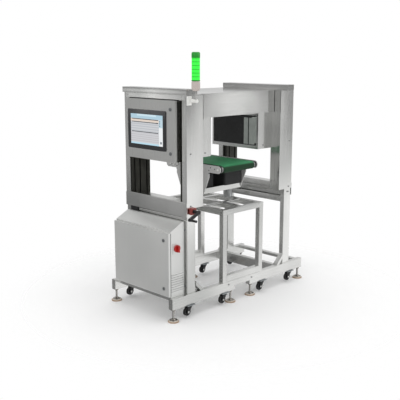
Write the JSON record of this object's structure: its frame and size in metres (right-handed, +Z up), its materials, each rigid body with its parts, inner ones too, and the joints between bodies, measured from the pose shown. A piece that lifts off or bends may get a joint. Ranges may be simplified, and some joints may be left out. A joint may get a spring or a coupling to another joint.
{
  "type": "checkweigher",
  "caption": "In-line checkweigher: a short belt conveyor on load cells inside a height-adjustable gantry with camera housings, operator panel, signal light and control cabinet.",
  "frame": {"origin": "on the floor under the middle of the machine's bounding box", "axes": "+X from the operator tower with the cabinet to the far tower, across the belt; +Y from the crank side to the far end, along the belt; +Z up"},
  "size_m": [1.138, 0.6219, 1.407],
  "materials": {
    "stainless": "satin brushed",
    "black_plastic": "matt",
    "grey_plastic": "matt",
    "red_plastic": "semi-gloss",
    "beige_plastic": "matt",
    "gloss_black": "gloss",
    "belt": "matt woven",
    "rubber": "matt",
    "tan_pad": "matt",
    "machined_aluminium": "machined",
    "black_aluminium": "black anodised",
    "roller_steel": "turned",
    "zinc": "plated",
    "chrome": "polished",
    "brass": "machined",
    "dark_glass": "smoked",
    "green_lens": "translucent, lit"
  },
  "bodies": {
    "frame": {"base_frame": "stainless", "tower_posts": "stainless", "post_braces": "stainless", "stand_frame": "stainless", "side_plates": "stainless", "conveyor_belt": "belt", "slider_bed": "stainless", "roller_bearings": "black_plastic", "weigh_tray": "stainless", "load_cells": "machined_aluminium", "drive_boxes": "black_plastic", "cabinet_shell": "stainless", "cabinet_electronics": "grey_plastic", "cabinet_fittings": "zinc", "position_indicator": "red_plastic", "feet_pads": "tan_pad", "feet_stems": "chrome", "castor_plates": "zinc", "frame_bolts": "zinc"},
    "gantry": {"tower_columns": "stainless", "guide_profiles": "black_aluminium", "top_covers": "stainless", "gantry_beam": "stainless", "camera_housings": "stainless", "camera_windows": "dark_glass", "camera_units": "grey_plastic", "hmi_box": "stainless", "light_bracket": "zinc", "lift_nut": "brass"},
    "tail_roller": {"tail_roller": "roller_steel"},
    "drive_roller": {"drive_roller": "roller_steel"},
    "cabinet_door": {"cabinet_door": "stainless"},
    "cabinet_lock_bottom": {"cabinet_lock_bottom": "zinc"},
    "cabinet_lock_top": {"cabinet_lock_top": "zinc"},
    "main_switch": {"main_switch": "red_plastic"},
    "crank": {"lift_crank": "black_plastic"},
    "crank_grip": {"crank_grip": "black_plastic"},
    "lift_screw": {"lift_screw": "roller_steel"},
    "hmi_door": {"hmi_door": "stainless", "hmi_panel": "gloss_black"},
    "hmi_lock_bottom": {"hmi_lock_bottom": "zinc"},
    "hmi_lock_top": {"hmi_lock_top": "zinc"},
    "signal_light": {"stack_light_pole": "beige_plastic", "stack_light_lens": "green_lens"},
    "castor_fork_1": {"castor_fork_1": "zinc"},
    "castor_wheel_1": {"castor_wheel_1": "rubber"},
    "castor_fork_2": {"castor_fork_2": "zinc"},
    "castor_wheel_2": {"castor_wheel_2": "rubber"},
    "castor_fork_3": {"castor_fork_3": "zinc"},
    "castor_wheel_3": {"castor_wheel_3": "rubber"},
    "castor_fork_4": {"castor_fork_4": "zinc"},
    "castor_wheel_4": {"castor_wheel_4": "rubber"},
    "castor_fork_5": {"castor_fork_5": "zinc"},
    "castor_wheel_5": {"castor_wheel_5": "rubber"},
    "castor_fork_6": {"castor_fork_6": "zinc"},
    "castor_wheel_6": {"castor_wheel_6": "rubber"},
    "castor_fork_7": {"castor_fork_7": "zinc"},
    "castor_wheel_7": {"castor_wheel_7": "rubber"},
    "castor_fork_8": {"castor_fork_8": "zinc"},
    "castor_wheel_8": {"castor_wheel_8": "rubber"}
  },
  "joints": [
    {"name": "lift", "type": "slide", "parent": "frame", "child": "gantry", "axis": [0, 0, 1], "range_m": [0, 0.15]},
    {"name": "crank_turn", "type": "hinge", "parent": "frame", "child": "crank", "pos_m": [-0.4095, -0.1875, 0.584], "axis": [0, -1, 0], "range_deg": [0, 5400.5]},
    {"name": "grip_spin", "type": "hinge", "parent": "crank", "child": "crank_grip", "pos_m": [-0.4755, -0.26, 0.555], "axis": [0, 1, 0], "continuous": true},
    {"name": "screw_turn", "type": "hinge", "parent": "frame", "child": "lift_screw", "pos_m": [-0.4095, -0.1875, 0.584], "axis": [0, 0, -1], "range_deg": [0, 5400.5]},
    {"name": "tail_roller_spin", "type": "hinge", "parent": "frame", "child": "tail_roller", "pos_m": [0, -0.155, 0.7685], "axis": [1, 0, 0], "continuous": true},
    {"name": "drive_roller_spin", "type": "hinge", "parent": "frame", "child": "drive_roller", "pos_m": [0, 0.242, 0.7685], "axis": [1, 0, 0], "continuous": true},
    {"name": "cabinet_door_swing", "type": "hinge", "parent": "frame", "child": "cabinet_door", "pos_m": [-0.544, 0.2678, 0.3058], "axis": [0, 0, -1], "range_deg": [0, 110]},
    {"name": "main_switch_turn", "type": "hinge", "parent": "frame", "child": "main_switch", "pos_m": [-0.503, -0.1855, 0.395], "axis": [0, -1, 0], "range_deg": [0, 90]},
    {"name": "hmi_door_swing", "type": "hinge", "parent": "gantry", "child": "hmi_door", "pos_m": [-0.4595, 0.2528, 1.001], "axis": [0, 0, -1], "range_deg": [0, 110]},
    {"name": "signal_light_fold", "type": "hinge", "parent": "gantry", "child": "signal_light", "pos_m": [-0.414, -0.2425, 1.163], "axis": [0, -1, 0], "range_deg": [0, 90]},
    {"name": "cabinet_lock_bottom_turn", "type": "hinge", "parent": "cabinet_door", "child": "cabinet_lock_bottom", "pos_m": [-0.559, -0.1465, 0.1768], "axis": [1, 0, 0], "range_deg": [0, 90]},
    {"name": "cabinet_lock_top_turn", "type": "hinge", "parent": "cabinet_door", "child": "cabinet_lock_top", "pos_m": [-0.559, -0.1465, 0.4408], "axis": [1, 0, 0], "range_deg": [0, 90]},
    {"name": "hmi_lock_bottom_turn", "type": "hinge", "parent": "hmi_door", "child": "hmi_lock_bottom", "pos_m": [-0.4765, -0.118, 0.886], "axis": [1, 0, 0], "range_deg": [0, 90]},
    {"name": "hmi_lock_top_turn", "type": "hinge", "parent": "hmi_door", "child": "hmi_lock_top", "pos_m": [-0.4765, -0.118, 1.116], "axis": [1, 0, 0], "range_deg": [0, 90]},
    {"name": "castor_1_swivel", "type": "hinge", "parent": "frame", "child": "castor_fork_1", "pos_m": [-0.426, -0.1975, 0.0695], "axis": [0, 0, 1], "continuous": true},
    {"name": "castor_1_roll", "type": "hinge", "parent": "castor_fork_1", "child": "castor_wheel_1", "pos_m": [-0.44, -0.1975, 0.031], "axis": [0, 1, 0], "continuous": true},
    {"name": "castor_2_swivel", "type": "hinge", "parent": "frame", "child": "castor_fork_2", "pos_m": [-0.426, 0.2845, 0.0695], "axis": [0, 0, 1], "continuous": true},
    {"name": "castor_2_roll", "type": "hinge", "parent": "castor_fork_2", "child": "castor_wheel_2", "pos_m": [-0.44, 0.2845, 0.031], "axis": [0, 1, 0], "continuous": true},
    {"name": "castor_3_swivel", "type": "hinge", "parent": "frame", "child": "castor_fork_3", "pos_m": [-0.15, -0.1975, 0.0695], "axis": [0, 0, 1], "continuous": true},
    {"name": "castor_3_roll", "type": "hinge", "parent": "castor_fork_3", "child": "castor_wheel_3", "pos_m": [-0.164, -0.1975, 0.031], "axis": [0, 1, 0], "continuous": true},
    {"name": "castor_4_swivel", "type": "hinge", "parent": "frame", "child": "castor_fork_4", "pos_m": [-0.15, 0.2845, 0.0695], "axis": [0, 0, 1], "continuous": true},
    {"name": "castor_4_roll", "type": "hinge", "parent": "castor_fork_4", "child": "castor_wheel_4", "pos_m": [-0.164, 0.2845, 0.031], "axis": [0, 1, 0], "continuous": true},
    {"name": "castor_5_swivel", "type": "hinge", "parent": "frame", "child": "castor_fork_5", "pos_m": [0.179, -0.1975, 0.0695], "axis": [0, 0, 1], "continuous": true},
    {"name": "castor_5_roll", "type": "hinge", "parent": "castor_fork_5", "child": "castor_wheel_5", "pos_m": [0.165, -0.1975, 0.031], "axis": [0, 1, 0], "continuous": true},
    {"name": "castor_6_swivel", "type": "hinge", "parent": "frame", "child": "castor_fork_6", "pos_m": [0.179, 0.2845, 0.0695], "axis": [0, 0, 1], "continuous": true},
    {"name": "castor_6_roll", "type": "hinge", "parent": "castor_fork_6", "child": "castor_wheel_6", "pos_m": [0.165, 0.2845, 0.031], "axis": [0, 1, 0], "continuous": true},
    {"name": "castor_7_swivel", "type": "hinge", "parent": "frame", "child": "castor_fork_7", "pos_m": [0.445, -0.1975, 0.0695], "axis": [0, 0, 1], "continuous": true},
    {"name": "castor_7_roll", "type": "hinge", "parent": "castor_fork_7", "child": "castor_wheel_7", "pos_m": [0.431, -0.1975, 0.031], "axis": [0, 1, 0], "continuous": true},
    {"name": "castor_8_swivel", "type": "hinge", "parent": "frame", "child": "castor_fork_8", "pos_m": [0.445, 0.2845, 0.0695], "axis": [0, 0, 1], "continuous": true},
    {"name": "castor_8_roll", "type": "hinge", "parent": "castor_fork_8", "child": "castor_wheel_8", "pos_m": [0.431, 0.2845, 0.031], "axis": [0, 1, 0], "continuous": true}
  ],
  "couplings": [
    {"joint": "crank_turn", "follows": "lift", "rad_per_m": 628.32},
    {"joint": "screw_turn", "follows": "lift", "rad_per_m": 628.32},
    {"joint": "tail_roller_spin", "follows": "drive_roller_spin", "ratio": 1}
  ]
}
